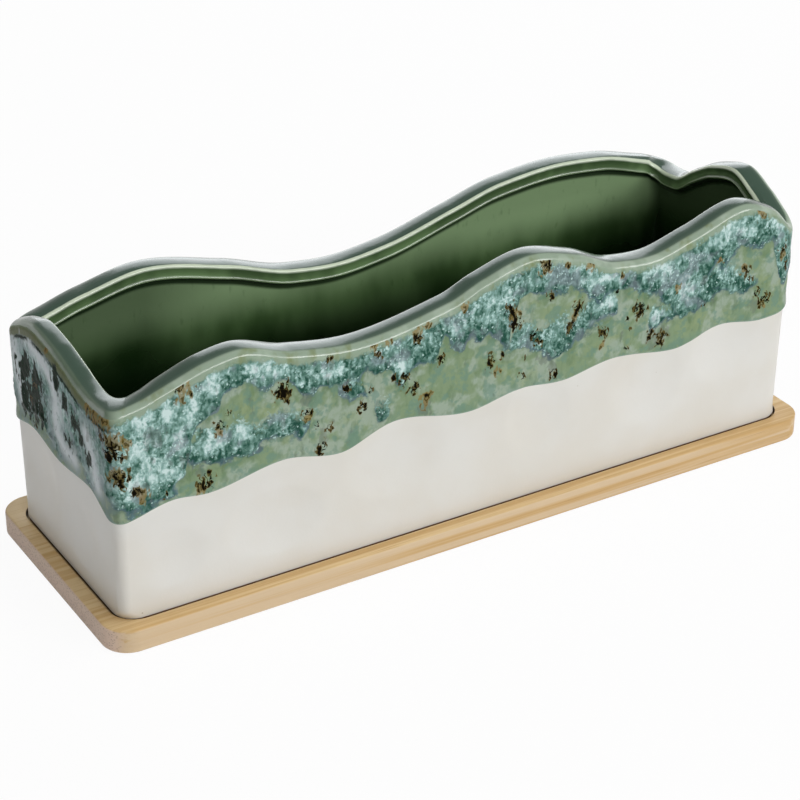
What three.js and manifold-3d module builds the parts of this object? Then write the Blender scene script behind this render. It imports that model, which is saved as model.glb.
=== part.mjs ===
// Rectangular ceramic planter with a waved rim, standing in the recess of a bamboo tray.
// Millimetres, +Z up. The origin is the centre of the tray's underside, +X runs along the
// long walls and -Y is the front.

import * as THREE from 'three';
import { mergeVertices } from 'three/addons/utils/BufferGeometryUtils.js';
import Module from 'manifold-3d';

const wasm = await Module();
wasm.setup();

// Pot, measured on the bare clay at the foot
const potLength = 306;
const potWidth = 94;
const cornerRadius = 11;
const frontLeftRadius = 4; // the front left corner is much sharper than the other three
const cornerFollow = 30; // length of wall beside a corner that follows it when it moves
const footCornerRadius = 10; // at the foot all four corners have this radius
const footCornerRise = 6; // height above the foot where they are back to their own radius
const wallDraft = 0.5; // degrees that the walls lean outwards
const wallThickness = 6.8;
const cavityCornerRadius = 4;
const floorThickness = 8;
const floorFillet = 3;
const footChamfer = 1;
const footWidth = 9;
const footHeight = 1.5; // clear height under the floor, inside the foot ring
const drainDiameter = 12;
const drainCount = 3;
const drainSpacing = 92;

// Rim: a thick rounded lip that overhangs the inside of the wall
const rimWidth = 9.9;
const leftWallShare = 0.77; // the left-hand wall and its rim are this share as thick as the others
const rimOuterRadius = 3.4;
const rimInnerChamfer = 1;
const lipHeight = 5.4;
const lipUnderside = 1.5; // height of the slope under the overhang

// Glaze coats
const glazeThickness = 0.7;
const bandRoll = 1.1; // thickness of the rolled lower edge of the outer glaze
const bandRollHeight = 1.2;
const bandRollFade = 4.5; // height above the edge where the coat is back to its usual thickness

// Tray
const trayLedge = 7; // from the pot's foot to the tray's outer edge
const trayThickness = 9.5;
const trayCornerRadius = 11;
const trayEdgeEase = 0.8;
const recessDepth = 2;
const seatClearance = 0.8;
const stripCount = 5;

// Spacing of the points that follow the waves
const waveStep = 10;
const cornerSteps = 6;
const rimRoundSteps = 3;
const drainSides = 20;

// Heights above the foot, about which the finished rim and the outer glaze's lower edge wave
const rimHeight = 94;
const bandHeight = 50;

// The rim's waves. Each wall lists [share of its run, rise above rimHeight], from its first
// corner to its next one, going round front, right, back and left; each corner has the rise
// halfway round it.
const rimWave = {
  front: [[0.027, -4.7], [0.076, 0], [0.117, 4.1], [0.158, 6], [0.237, -0.5], [0.325, -4],
    [0.463, 2], [0.513, 7.7], [0.586, 12.8], [0.659, 7.9], [0.723, 0.2], [0.777, -1.4],
    [0.851, 3.6], [0.934, 10.4], [0.989, 4.8]],
  frontRight: -4.5,
  right: [[0.12, 3.8], [0.315, 9.3], [0.5, 6], [0.665, -0.5], [0.84, -7.8], [0.962, -8.5]],
  backRight: -7,
  back: [[0.016, -3.6], [0.097, 2], [0.178, 3.8], [0.274, 1.4], [0.359, -5.1], [0.471, -13.5],
    [0.55, -15.9], [0.621, -14], [0.721, -5.3], [0.848, 2.1], [0.938, -2.6]],
  backLeft: -9.2,
  left: [[0.006, -4.8], [0.128, -0.6], [0.25, 1.4], [0.456, -0.6], [0.5, -1.3], [0.625, -3.8],
    [0.75, -6.4], [0.86, -7.3]],
  frontLeft: -5.6,
};

// The lower edge of the outer glaze, listed in the same way as rises above bandHeight
const bandWave = {
  front: [[0.065, -2.4], [0.11, -3.9], [0.217, 0.7], [0.297, -3.5], [0.384, 2.9], [0.493, -2.1],
    [0.571, 1.2], [0.63, -0.8], [0.723, 2.8], [0.821, -1.4], [0.906, 3.1], [0.974, 0.6]],
  frontRight: 1.5,
  right: [[0.192, 2.2], [0.5, -1.6], [0.808, 1.6]],
  backRight: -2.5,
  back: [[0.047, -2], [0.137, 2], [0.258, -3], [0.379, 2.3], [0.499, -1.4], [0.611, 2.9],
    [0.741, -2.4], [0.863, 1.4]],
  backLeft: -5,
  left: [[0.189, -0.6], [0.465, -3.3], [0.812, -0.6]],
  frontLeft: -6.6,
};

const trayLength = potLength + 2 * trayLedge;
const trayWidth = potWidth + 2 * trayLedge;
const seatHeight = trayThickness - recessDepth;
const floorTop = seatHeight + footHeight + floorThickness;
const flare = Math.tan(THREE.MathUtils.degToRad(wallDraft));
const wallNames = ['front', 'right', 'back', 'left'];
const cornerNames = ['frontRight', 'backRight', 'backLeft', 'frontLeft'];

// Stations are the upright lines that every ring of the pot shares. Each one is a place on the
// lines between the corner centres, with the direction that faces outwards. Its pull is the
// share that it moves along with the corner centres, in full at the corners.
function makeStations() {
  const corners = [[1, -1], [1, 1], [-1, 1], [-1, -1]];
  const radii = [cornerRadius, cornerRadius, cornerRadius, frontLeftRadius];
  const nearness = (gap) => Math.max(0, 1 - gap / cornerFollow) ** 2;
  const stations = [];
  const walls = [];
  let distance = 0;
  wallNames.forEach((wall, index) => {
    const last = (index + 3) % 4;
    const [fromX, fromY] = corners[last];
    const [toX, toY] = corners[index];
    const run = (index % 2 ? potWidth : potLength) - radii[last] - radii[index];
    const cornerRun = radii[index] * Math.PI / 2;
    const steps = Math.round(run / waveStep);
    const facing = (index - 1) * Math.PI / 2;
    for (let step = 0; step <= steps; step += 1) {
      const share = step / steps;
      const corner = THREE.MathUtils.lerp(radii[last], radii[index], share);
      const place = share * run + radii[last] - (index % 2 ? potWidth : potLength) / 2;
      const pull = nearness((1 - share) * run) - nearness(share * run);
      stations.push({
        x: index % 2 ? fromX * (potLength / 2 - corner) : toX * place,
        y: index % 2 ? toY * place : fromY * (potWidth / 2 - corner),
        pullX: index % 2 ? fromX : toX * pull,
        pullY: index % 2 ? toY * pull : fromY,
        angle: facing,
        corner,
        distance: distance + share * run,
      });
    }
    distance += run;
    for (let step = 1; step < cornerSteps; step += 1) {
      const share = step / cornerSteps;
      stations.push({
        x: toX * (potLength / 2 - radii[index]),
        y: toY * (potWidth / 2 - radii[index]),
        pullX: toX,
        pullY: toY,
        angle: facing + share * Math.PI / 2,
        corner: radii[index],
        distance: distance + share * cornerRun,
      });
    }
    distance += cornerRun;
    walls.push({ run, cornerRun });
  });
  return { stations, walls, total: distance };
}

const outline = makeStations();

// Turns a wave's wall lists into one list of [distance round the pot, rise].
function waveKnots(wave) {
  const knots = [];
  let distance = 0;
  wallNames.forEach((wall, index) => {
    const { run, cornerRun } = outline.walls[index];
    wave[wall].forEach(([share, rise]) => knots.push([distance + share * run, rise]));
    distance += run;
    knots.push([distance + cornerRun / 2, wave[cornerNames[index]]]);
    distance += cornerRun;
  });
  return knots;
}

// A smooth closed curve through the knots, level at each crest and trough.
function waveCurve(wave) {
  const knots = waveKnots(wave);
  const count = knots.length;
  const span = (i) => {
    const next = i + 1 < count ? knots[i + 1][0] : knots[0][0] + outline.total;
    return next - knots[i][0];
  };
  const slope = (i) => (knots[(i + 1) % count][1] - knots[i][1]) / span(i);
  const tangents = knots.map((knot, i) => {
    const before = slope((i + count - 1) % count);
    const after = slope(i);
    return before * after > 0 ? 2 * before * after / (before + after) : 0;
  });
  return (distance) => {
    const place = distance < knots[0][0] ? distance + outline.total : distance;
    let i = count - 1;
    while (knots[i][0] > place) {
      i -= 1;
    }
    const width = span(i);
    const t = (place - knots[i][0]) / width;
    const next = (i + 1) % count;
    const rise = knots[next][1] - knots[i][1];
    const bend = t * (1 - t) * ((1 - t) * tangents[i] - t * tangents[next]) * width;
    return knots[i][1] + rise * t * t * (3 - 2 * t) + bend;
  };
}

const rimCurve = waveCurve(rimWave);
const bandCurve = waveCurve(bandWave);
outline.stations.forEach((station) => {
  station.rimTop = seatHeight + rimHeight + rimCurve(station.distance) - glazeThickness;
  station.bandEdge = seatHeight + bandHeight + bandCurve(station.distance);
});

// A point of the pot at one station: inset is measured inwards from the leaning outer wall.
function wallPoint(station, inset, z) {
  const outward = (z - seatHeight) * flare - inset;
  const rise = THREE.MathUtils.smoothstep(z, seatHeight, seatHeight + footCornerRise);
  const corner = THREE.MathUtils.lerp(footCornerRadius, station.corner, rise);
  const radius = Math.max(corner + outward, cavityCornerRadius);
  const slack = outward - radius + station.corner;
  const thinner = (1 - leftWallShare) * Math.max(inset, 0) * Math.min(station.pullX, 0);
  return new THREE.Vector3(
    station.x + slack * station.pullX + thinner + radius * Math.cos(station.angle),
    station.y + slack * station.pullY + radius * Math.sin(station.angle),
    z,
  );
}

// The part of the clay section that carries glaze, from the outer glaze's lower edge over the
// rim and down to the floor. The outer and inner coats meet at seamIndex, on the rim's round.
const seamIndex = 2;
function glazedSection(station) {
  const top = station.rimTop;
  const round = [];
  for (let step = 0; step <= rimRoundSteps; step += 1) {
    const angle = (step / rimRoundSteps) * Math.PI / 2;
    round.push(new THREE.Vector2(
      rimOuterRadius * (1 - Math.cos(angle)),
      top - rimOuterRadius * (1 - Math.sin(angle)),
    ));
  }
  return [
    new THREE.Vector2(0, station.bandEdge),
    ...round,
    new THREE.Vector2(rimWidth - rimInnerChamfer, top),
    new THREE.Vector2(rimWidth, top - rimInnerChamfer),
    new THREE.Vector2(rimWidth, top - lipHeight),
    new THREE.Vector2(wallThickness, top - lipHeight - lipUnderside),
    new THREE.Vector2(wallThickness, floorTop + floorFillet),
    new THREE.Vector2(wallThickness + floorFillet, floorTop),
  ];
}

// The same section moved out by one coat of glaze, with its corners kept sharp.
function coatedSection(station) {
  const section = glazedSection(station);
  const floorFacing = new THREE.Vector2(0, 1);
  const facings = section.map((point, i) => {
    if (i + 1 === section.length) {
      return floorFacing;
    }
    const along = section[i + 1].clone().sub(point).normalize();
    return new THREE.Vector2(-along.y, along.x);
  });
  return section.map((point, i) => {
    const after = facings[i];
    const before = facings[Math.max(i - 1, 0)];
    const reach = glazeThickness / (1 + before.dot(after));
    return point.clone().addScaledVector(before, reach).addScaledVector(after, reach);
  });
}

// A closed body from rings of section points. The rings run from the underside outwards, up,
// over the top and in again; the ends are either capped or joined to each other. Each
// four-cornered face is split along its shorter diagonal, so that clay and glaze match.
function ringBody(sectionAt, capped) {
  const { stations } = outline;
  const sections = stations.map((station) => sectionAt(station));
  const ringCount = sections[0].length;
  const points = [];
  for (let ring = 0; ring < ringCount; ring += 1) {
    stations.forEach((station, i) => {
      points.push(wallPoint(station, sections[i][ring].x, sections[i][ring].y));
    });
  }
  const triangles = [];
  const joins = capped ? ringCount - 1 : ringCount;
  stations.forEach((station, i) => {
    const next = (i + 1) % stations.length;
    for (let ring = 0; ring < joins; ring += 1) {
      const below = ring * stations.length;
      const above = ((ring + 1) % ringCount) * stations.length;
      const [a, b, c, d] = [below + i, below + next, above + next, above + i];
      if (points[a].distanceTo(points[c]) <= points[b].distanceTo(points[d])) {
        triangles.push(a, b, c, a, c, d);
      } else {
        triangles.push(a, b, d, b, c, d);
      }
    }
    if (capped) {
      const firstCentre = ringCount * stations.length;
      const lastRing = firstCentre - stations.length;
      triangles.push(firstCentre, next, i, firstCentre + 1, lastRing + i, lastRing + next);
    }
  });
  if (capped) {
    points.push(new THREE.Vector3(0, 0, sections[0][0].y));
    points.push(new THREE.Vector3(0, 0, sections[0][ringCount - 1].y));
  }
  const geometry = new THREE.BufferGeometry().setFromPoints(points);
  geometry.setIndex(triangles);
  return geometry;
}

function toSolid(geometry) {
  const plain = geometry.clone();
  plain.deleteAttribute('normal');
  plain.deleteAttribute('uv');
  const merged = mergeVertices(plain);
  return new wasm.Manifold(new wasm.Mesh({
    numProp: 3,
    vertProperties: new Float32Array(merged.attributes.position.array),
    triVerts: new Uint32Array(merged.index.array),
  }));
}

function toGeometry(solid) {
  const mesh = solid.getMesh();
  const geometry = new THREE.BufferGeometry();
  geometry.setAttribute('position', new THREE.BufferAttribute(mesh.vertProperties, 3));
  geometry.setIndex(new THREE.BufferAttribute(mesh.triVerts, 1));
  return geometry;
}

// The drain holes go straight down through the floor and its glaze.
function cutDrains(geometry) {
  const radius = drainDiameter / 2;
  let solid = toSolid(geometry);
  for (let i = 0; i < drainCount; i += 1) {
    const drain = new THREE.CylinderGeometry(radius, radius, 4 * floorThickness, drainSides);
    drain.rotateX(Math.PI / 2);
    drain.translate((i - (drainCount - 1) / 2) * drainSpacing, 0, floorTop);
    solid = solid.subtract(toSolid(drain));
  }
  return toGeometry(solid);
}

function clayBody() {
  const underside = seatHeight + footHeight;
  const body = ringBody((station) => [
    new THREE.Vector2(footWidth, underside),
    new THREE.Vector2(footWidth, seatHeight),
    new THREE.Vector2(footChamfer, seatHeight),
    new THREE.Vector2(0, seatHeight + footChamfer),
    new THREE.Vector2(0, seatHeight + footCornerRise / 2),
    new THREE.Vector2(0, seatHeight + footCornerRise),
    ...glazedSection(station),
  ], true);
  return cutDrains(body);
}

// The dark glaze that lines the inside and runs over the rim
function linerGlaze() {
  const body = ringBody((station) => [
    ...glazedSection(station).slice(seamIndex).reverse(),
    ...coatedSection(station).slice(seamIndex),
  ], true);
  return cutDrains(body);
}

// The variegated glaze on the upper half of the outside, thicker where its lower edge rolled up
function outerGlazeBand() {
  return ringBody((station) => [
    new THREE.Vector2(0, station.bandEdge),
    new THREE.Vector2(-bandRoll, station.bandEdge + bandRollHeight),
    new THREE.Vector2(-glazeThickness, station.bandEdge + bandRollFade),
    ...coatedSection(station).slice(1, seamIndex + 1),
    ...glazedSection(station).slice(1, seamIndex + 1).reverse(),
  ], false);
}

function roundedRectangle(length, width, radius) {
  const x = length / 2 - radius;
  const y = width / 2 - radius;
  const quarter = Math.PI / 2;
  const shape = new THREE.Shape();
  shape.absarc(x, -y, radius, -quarter, 0);
  shape.absarc(x, y, radius, 0, quarter);
  shape.absarc(-x, y, radius, quarter, 2 * quarter);
  shape.absarc(-x, -y, radius, 2 * quarter, 3 * quarter);
  return shape;
}

// The whole tray before it is divided: an eased board with the recess for the pot's foot
function trayBoard() {
  const outside = roundedRectangle(trayLength, trayWidth, trayCornerRadius);
  const board = new THREE.ExtrudeGeometry(outside, {
    depth: trayThickness - 2 * trayEdgeEase,
    bevelThickness: trayEdgeEase,
    bevelSize: trayEdgeEase,
    bevelOffset: -trayEdgeEase,
    bevelSegments: 1,
    curveSegments: cornerSteps,
  });
  board.translate(0, 0, trayEdgeEase);
  const seat = roundedRectangle(
    potLength + 2 * seatClearance,
    potWidth + 2 * seatClearance,
    footCornerRadius + seatClearance,
  );
  const recess = new THREE.ExtrudeGeometry(seat, {
    depth: 2 * recessDepth,
    bevelEnabled: false,
    curveSegments: cornerSteps,
  });
  recess.translate(0, 0, seatHeight);
  return toSolid(board).subtract(toSolid(recess));
}

// One of the bamboo strips that are glued edge to edge, counted from the front
function trayStrip(board, index) {
  const stripWidth = trayWidth / stripCount;
  const low = index === 0 ? -trayWidth : index * stripWidth - trayWidth / 2;
  const high = index === stripCount - 1 ? trayWidth : (index + 1) * stripWidth - trayWidth / 2;
  const shape = new THREE.Shape([
    new THREE.Vector2(-trayLength, low),
    new THREE.Vector2(trayLength, low),
    new THREE.Vector2(trayLength, high),
    new THREE.Vector2(-trayLength, high),
  ]);
  const slice = new THREE.ExtrudeGeometry(shape, { depth: 3 * trayThickness, bevelEnabled: false });
  slice.translate(0, 0, -trayThickness);
  return toGeometry(board.intersect(toSolid(slice)));
}

function piece(name, geometry, color, roughness) {
  const material = new THREE.MeshStandardMaterial({ color, roughness, metalness: 0 });
  const mesh = new THREE.Mesh(geometry, material);
  mesh.name = name;
  return mesh;
}

const pot = new THREE.Group();
pot.add(piece('clay_body', clayBody(), 0xddd8cd, 0.5));
pot.add(piece('liner_glaze', linerGlaze(), 0x41603c, 0.12));
pot.add(piece('reactive_glaze_band', outerGlazeBand(), 0x8fb0a0, 0.15));

const tray = new THREE.Group();
const board = trayBoard();
for (let index = 0; index < stripCount; index += 1) {
  tray.add(piece(`tray_strip_${index + 1}`, trayStrip(board, index), 0xd6b482, 0.6));
}

const planter = new THREE.Group();
planter.add(tray, pot);

export default planter;
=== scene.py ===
import math
from types import SimpleNamespace
import bmesh
import bpy
import numpy as np
from mathutils import Matrix, Vector, noise
from mathutils.geometry import tessellate_polygon


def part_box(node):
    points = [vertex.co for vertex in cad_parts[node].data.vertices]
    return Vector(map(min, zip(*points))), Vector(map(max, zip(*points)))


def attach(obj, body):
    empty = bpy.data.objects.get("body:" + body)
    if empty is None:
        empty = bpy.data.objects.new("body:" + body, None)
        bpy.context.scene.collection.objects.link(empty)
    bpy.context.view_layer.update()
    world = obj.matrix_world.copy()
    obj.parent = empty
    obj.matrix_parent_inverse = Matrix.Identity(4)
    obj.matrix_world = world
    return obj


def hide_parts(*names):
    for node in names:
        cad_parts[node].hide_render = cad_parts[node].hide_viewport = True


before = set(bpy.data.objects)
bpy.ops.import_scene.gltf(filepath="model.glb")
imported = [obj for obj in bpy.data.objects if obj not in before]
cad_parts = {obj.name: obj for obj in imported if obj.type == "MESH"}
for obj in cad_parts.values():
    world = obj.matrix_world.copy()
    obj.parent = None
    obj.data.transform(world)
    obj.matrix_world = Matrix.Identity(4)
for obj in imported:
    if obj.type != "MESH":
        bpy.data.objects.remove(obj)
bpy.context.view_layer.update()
mm = 0.001  # sizes below are in millimetres
scene = bpy.context.scene
scene.view_settings.view_transform = "Standard"
print("frame loaded:", len(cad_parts), "nodes")


# Camera

view = dict(
    yaw=-31.4, pitch=28.9, roll=0.32,  # degrees round, above and about the line of sight
    right=-6.26, up=31.7, back=931.86,  # where the camera stands, along its own axes
    focalPixels=2278.57, framePixels=800, sensor=36,
)


def makeCamera():
    yaw, pitch, roll = (math.radians(view[k]) for k in ("yaw", "pitch", "roll"))
    back = Vector((math.sin(yaw) * math.cos(pitch), -math.cos(yaw) * math.cos(pitch), math.sin(pitch)))
    level = Vector((math.cos(yaw), math.sin(yaw), 0))
    rise = back.cross(level)
    right = level * math.cos(roll) + rise * math.sin(roll)
    up = rise * math.cos(roll) - level * math.sin(roll)
    data = bpy.data.cameras.new("photoCamera")
    data.sensor_width = view["sensor"]
    data.lens = view["focalPixels"] / view["framePixels"] * view["sensor"]
    data.clip_start = 0.05
    camera = bpy.data.objects.new("photoCamera", data)
    stand = (right * view["right"] + up * view["up"] + back * view["back"]) * mm
    camera.matrix_world = Matrix.Translation(stand) @ Matrix((right, up, back)).transposed().to_4x4()
    scene.collection.objects.link(camera)
    scene.camera = camera


makeCamera()
print("camera set")


# Shader sums

class Wire:  # a shader socket that sums can be written with
    def __init__(self, tree, socket=None):
        self.tree = tree
        self.socket = socket

    def node(self, kind, settings=None, sockets=None, out=0):
        made = self.tree.nodes.new("ShaderNode" + kind)
        for name, value in (settings or {}).items():
            if name == "stops":
                ends = made.color_ramp.elements
                for stop, (spot, colour) in zip((ends[0], ends[1]), (value[0], value[-1])):
                    stop.position = spot
                    stop.color = colour
                for spot, colour in value[1:-1]:
                    ends.new(spot).color = colour
            else:
                setattr(made, name, value)
        for name, value in (sockets or {}).items():
            if isinstance(value, Wire):
                self.tree.links.new(value.socket, made.inputs[name])
            else:
                made.inputs[name].default_value = value
        return Wire(self.tree, made.outputs[out] if len(made.outputs) else None)

    def sum(self, operation, first, second):
        return self.node("Math", {"operation": operation}, {0: first, 1: second})

    def __add__(self, other):
        return self.sum("ADD", self, other)

    def __radd__(self, other):
        return self.sum("ADD", other, self)

    def __sub__(self, other):
        return self.sum("SUBTRACT", self, other)

    def __rsub__(self, other):
        return self.sum("SUBTRACT", other, self)

    def __mul__(self, other):
        return self.sum("MULTIPLY", self, other)

    def __rmul__(self, other):
        return self.sum("MULTIPLY", other, self)


def rgb(red, green, blue):  # a screen colour, 0 to 255, as linear light
    parts = (c / 255 for c in (red, green, blue))
    return tuple(c / 12.92 if c < 0.04045 else ((c + 0.055) / 1.055) ** 2.4 for c in parts) + (1,)


def newPaint(name):
    material = bpy.data.materials.new(name)
    material.use_nodes = True
    material.node_tree.nodes.clear()
    return material, Wire(material.node_tree)


def onPiece(paint):  # place on the piece, in millimetres
    place = paint.node("TexCoord", out="Object")
    return paint.node("VectorMath", {"operation": "SCALE"}, {0: place, "Scale": 1000})


def stretched(place, x, y, z):
    return place.node("VectorMath", {"operation": "MULTIPLY"}, {0: place, 1: (x, y, z)})


def cloud(place, size, detail=2.0, rough=0.5, out=0):
    sockets = {"Vector": place, "Scale": 1 / size, "Detail": detail, "Roughness": rough}
    return place.node("TexNoise", {}, sockets, out)


def cells(place, size, out="Distance"):
    return place.node("TexVoronoi", {}, {"Vector": place, "Scale": 1 / size}, out)


def cellChance(place, size):  # a random number for each cell, 0 to 1
    return place.node("SeparateColor", {}, {0: cells(place, size, "Color")})


def ease(value, low, high):  # 0 below low, 1 above high
    sockets = {"Value": value, "From Min": low, "From Max": high}
    return value.node("MapRange", {"interpolation_type": "SMOOTHSTEP"}, sockets)


def tint(share, first, second):  # from the first colour to the second
    return share.node("Mix", {"data_type": "RGBA"}, {0: share, 6: first, 7: second}, 2)


class Coats:  # a colour with others of its look laid over it in turn
    def __init__(self, look, colour):
        self.look = look
        self.colour = colour

    def over(self, share, second):
        self.colour = tint(share, self.colour, self.look[second] if isinstance(second, str) else second)


def least(first, second):
    return first.sum("MINIMUM", first, second)


def most(first, second):
    return first.sum("MAXIMUM", first, second)


def magnitude(value):
    return value.sum("ABSOLUTE", value, 0)


def axis(place, name):  # one part of a place or a direction
    return place.node("SeparateXYZ", {}, {0: place}, name)


def field(paint, name):  # a value that the mesh carries at each point
    return paint.node("Attribute", {"attribute_name": name}, out="Fac")


def surface(paint, sockets, height, relief, reach):
    bump = paint.node("Bump", {}, {"Height": height, "Strength": relief, "Distance": reach})
    shader = paint.node("BsdfPrincipled", {}, dict(sockets, Normal=bump))
    paint.node("OutputMaterial", {}, {"Surface": shader})


# Meshes made of rings

class Skin:  # gathers rings of points into one mesh
    def __init__(self):
        self.points = []
        self.faces = []
        self.corners = []  # map place of each face corner
        self.count = 0

    def ring(self, rows):  # rows x stations x 3
        index = np.arange(rows.shape[0] * rows.shape[1]).reshape(rows.shape[:2]) + self.count
        self.points.append(rows.reshape(-1, 3))
        self.count += index.size
        return index

    def join(self, index, line, strips, low, high):  # quads between rings, mapped from low to high
        distance, total = line["distance"], line["total"]
        lower, upper = index[:-1], index[1:]
        quads = np.stack([lower, np.roll(lower, -1, 1), np.roll(upper, -1, 1), upper], -1)
        along = np.append(distance, total) * strips / total
        strip = np.minimum(np.floor(along[:-1] + 1e-6), strips - 1)
        start = (along[:-1] - strip) * 0.98 + 0.005
        end = (along[1:] - strip) * 0.98 + 0.005
        share = np.linspace(0.02, 0.97, len(index))
        foot = low + (high - low) * (strip[None] + share[:-1, None]) / strips
        head = low + (high - low) * (strip[None] + share[1:, None]) / strips
        start = np.broadcast_to(start, foot.shape)
        end = np.broadcast_to(end, foot.shape)
        across = np.stack([start, end, end, start], -1)
        upwards = np.stack([foot, foot, head, head], -1)
        self.faces += quads.reshape(-1, 4).tolist()
        self.corners.append(np.stack([across, upwards], -1).reshape(-1, 2))

    def cap(self, loops, upward, low, high):  # a flat face with holes, the outer loop first
        points = np.concatenate(self.points)
        order = np.concatenate(loops)
        flat = [[Vector((*points[i][:2], 0)) for i in loop] for loop in loops]
        span = np.ptp(points[loops[0]][:, :2], axis=0)
        for a, b, c in tessellate_polygon(flat):
            a, b, c = (int(order[k]) for k in (a, b, c))
            turn = np.cross(points[b][:2] - points[a][:2], points[c][:2] - points[a][:2])
            face = [a, b, c] if (turn > 0) == upward else [a, c, b]
            self.faces.append(face)
            where = points[face][:, :2] / span + 0.5
            self.corners.append(where * (0.98, high - low) + (0.01, low))

    def build(self, name, fields=None, sharp=55):
        mesh = bpy.data.meshes.new(name)
        mesh.from_pydata((np.concatenate(self.points) * mm).tolist(), [], self.faces)
        layer = mesh.uv_layers.new(name="OFBake")
        layer.uv.foreach_set("vector", np.concatenate(self.corners).astype(np.float32).ravel())
        for key, values in (fields or {}).items():
            full = np.full(self.count, np.median(values[-1]), np.float32)
            full[:values.size] = values.ravel()
            mesh.attributes.new(key, "FLOAT", "POINT").data.foreach_set("value", full)
        mesh.polygons.foreach_set("use_smooth", [True] * len(mesh.polygons))
        mesh.set_sharp_from_angle(angle=math.radians(sharp))
        mesh.update()
        piece = bpy.data.objects.new(name, mesh)
        scene.collection.objects.link(piece)
        return piece


def walkOutline(length, width, radii, step, cornerSteps):  # stations round a rounded rectangle
    corners = ((1, -1), (1, 1), (-1, 1), (-1, -1))
    names = ("x", "y", "pullX", "pullY", "angle", "corner", "distance")
    found = {name: [] for name in names}
    runs, bends = [], []
    walked = 0
    follow = 30  # this much wall near a corner follows it when it moves
    for wall in range(4):
        start, end = corners[wall - 1], corners[wall]
        first, last = radii[wall - 1], radii[wall]
        turned = wall % 2
        side, other = (width, length) if turned else (length, width)
        run = side - first - last
        bend = last * math.pi / 2
        facing = (wall - 1) * math.pi / 2
        share = np.linspace(0, 1, max(round(run / step), 1) + 1)
        corner = first + (last - first) * share
        along = (share * run + first - side / 2) * end[turned]
        ahead, behind = (np.clip(1 - way * run / follow, 0, 1) ** 2 for way in (1 - share, share))
        pull = (ahead - behind) * end[turned]
        across = (other / 2 - corner) * start[1 - turned]
        straight = np.full(len(share), start[1 - turned])
        rows = [across, along, straight, pull] if turned else [along, across, pull, straight]
        rows += [np.full(len(share), facing), corner, walked + share * run]
        walked += run
        share = np.arange(1, cornerSteps) / cornerSteps
        same = np.ones(len(share))
        turn = [same * end[0] * (length / 2 - last), same * end[1] * (width / 2 - last)]
        turn += [same * end[0], same * end[1], facing + share * math.pi / 2, same * last]
        turn += [walked + share * bend]
        walked += bend
        for name, straightPart, turnPart in zip(names, rows, turn):
            found[name] += [straightPart, turnPart]
        runs.append(run)
        bends.append(bend)
    stations = {name: np.concatenate(parts) for name, parts in found.items()}
    return dict(stations, runs=runs, bends=bends, total=walked)


def moveOutline(line, outward, radius, more=0):  # the outline moved outwards, more on the left
    slack = outward - radius + line["corner"]
    x = line["x"] + slack * line["pullX"] + radius * np.cos(line["angle"])
    y = line["y"] + slack * line["pullY"] + radius * np.sin(line["angle"])
    return x + more * np.minimum(line["pullX"], 0), y


# Pot

pot = dict(
    length=306, width=94, draft=0.5,  # at the foot, and degrees of lean
    corners=(11, 11, 11, 4),  # front right, back right, back left, front left
    footCorner=10, footCornerRise=6,  # all four corners are this round at the foot
    wall=6.8, cavityCorner=4, floor=8, floorFillet=3,
    leftShare=0.77,  # the left wall's share of the others' thickness
    footWidth=9, footHeight=1.5, footRound=1.8,
    drain=12, drainCount=3, drainSpacing=92, drainSides=48,
    rimWidth=9.9, rimRound=3.4, rimTilt=12, rimSoft=1.6, lip=5.4, lipUnderside=1.5,
    seamAngle=29,  # where the two glazes meet on the rim's outer round
    coat=0.7, sunk=0.2,  # of glaze, and how far its back lies inside the clay
    rimHeight=94, bandHeight=50, step=1, cornerSteps=16,
)
wallOrder = ("front", "right", "back", "left")
cornerOrder = ("frontRight", "backRight", "backLeft", "frontLeft")
rimWave = {  # rises of the rim: share of each wall's run, height
    "front": [
        (0.027, -3.9), (0.052, -1.6), (0.076, 0.7), (0.117, 4.4), (0.158, 6), (0.237, -0.5),
        (0.325, -4), (0.463, 2), (0.513, 7.7), (0.586, 12.8), (0.659, 7.9), (0.723, 0.2), (0.777, -1.4),
        (0.851, 3.6), (0.934, 10.4), (0.989, 4.8),
    ],
    "frontRight": -4.5,
    "right": [(0.12, 3.8), (0.315, 9.3), (0.5, 6), (0.665, -0.5), (0.84, -7.8), (0.962, -8.5)],
    "backRight": -7,
    "back": [
        (0.016, -3.6), (0.097, 2), (0.178, 3.8), (0.274, 1.4), (0.359, -5.1), (0.471, -13.5),
        (0.55, -15.9), (0.621, -14), (0.721, -5.3), (0.848, 2.1), (0.938, -2.6),
    ],
    "backLeft": -9.2,
    "left": [
        (0.006, -4.8), (0.128, -0.6), (0.25, 1.4), (0.456, 0), (0.5, -0.7), (0.625, -3), (0.75, -5.4),
        (0.86, -6.3),
    ],
    "frontLeft": -5.6,
}
bandWave = {  # rises of the outer glaze's lower edge
    "front": [
        (0.065, -2.4), (0.11, -3.9), (0.217, 0.7), (0.297, -3.5), (0.384, 2.9), (0.493, -2.1),
        (0.571, 1.2), (0.63, -0.8), (0.723, 2.8), (0.821, -1.4), (0.906, 3.1), (0.974, 0.6),
    ],
    "frontRight": 1.5,
    "right": [(0.192, 2.2), (0.5, -1.6), (0.808, 1.6)],
    "backRight": -2.5,
    "back": [
        (0.047, -2), (0.137, 2), (0.258, -3), (0.379, 2.3), (0.499, -1.4), (0.611, 2.9), (0.741, -2.4),
        (0.863, 1.4),
    ],
    "backLeft": -5,
    "left": [(0.189, -0.6), (0.465, -3.3), (0.812, -0.6)],
    "frontLeft": -6.6,
}
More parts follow.
